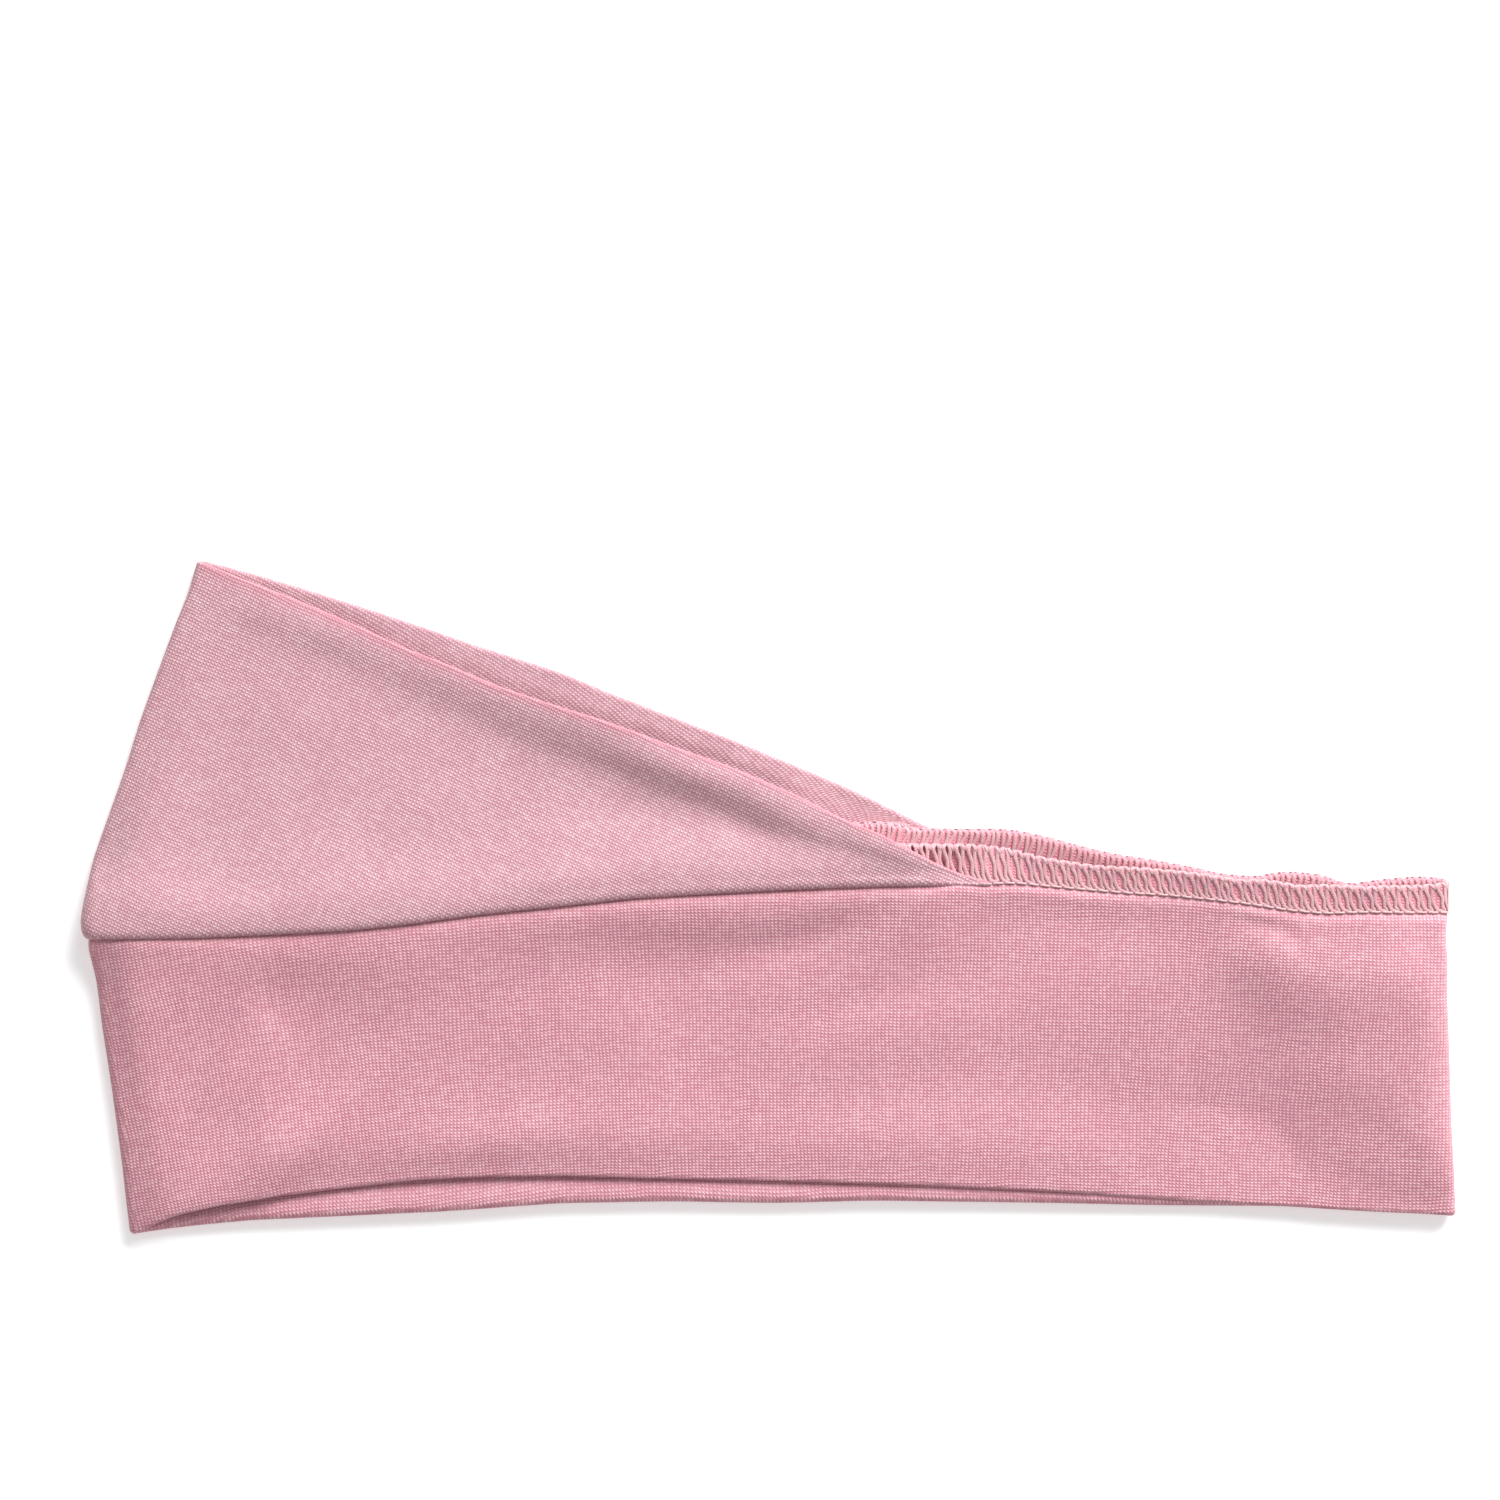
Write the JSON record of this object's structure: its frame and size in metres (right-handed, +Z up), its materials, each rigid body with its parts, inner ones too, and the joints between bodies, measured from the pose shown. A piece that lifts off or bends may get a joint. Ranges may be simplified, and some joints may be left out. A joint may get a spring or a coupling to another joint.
{
  "type": "sports headband",
  "caption": "Wide knitted stretch headband laid flat: a folded band closed into a ring, with a folded upper panel and an overlocked seam.",
  "frame": {"origin": "under the middle of the flattened headband, on the surface it lies on", "axes": "+X along the flattened band towards its narrow end (the back of the head), +Y from the folded lower edge to the upper edge, +Z up from the surface"},
  "size_m": [0.233, 0.115, 0.0076],
  "materials": {
    "band_knit": "matte fine double knit",
    "panel_knit": "matte fine double knit",
    "needle_thread": "spun polyester sewing thread",
    "looper_thread": "textured overlock thread"
  },
  "bodies": {
    "root": {"band_cloth": "band_knit", "upper_panel_cloth": "panel_knit", "seam_needle_thread": "needle_thread", "seam_upper_looper_thread": "looper_thread", "seam_lower_looper_thread": "looper_thread", "closing_needle_thread": "needle_thread", "closing_upper_looper_thread": "looper_thread", "closing_lower_looper_thread": "looper_thread"}
  },
  "joints": []
}
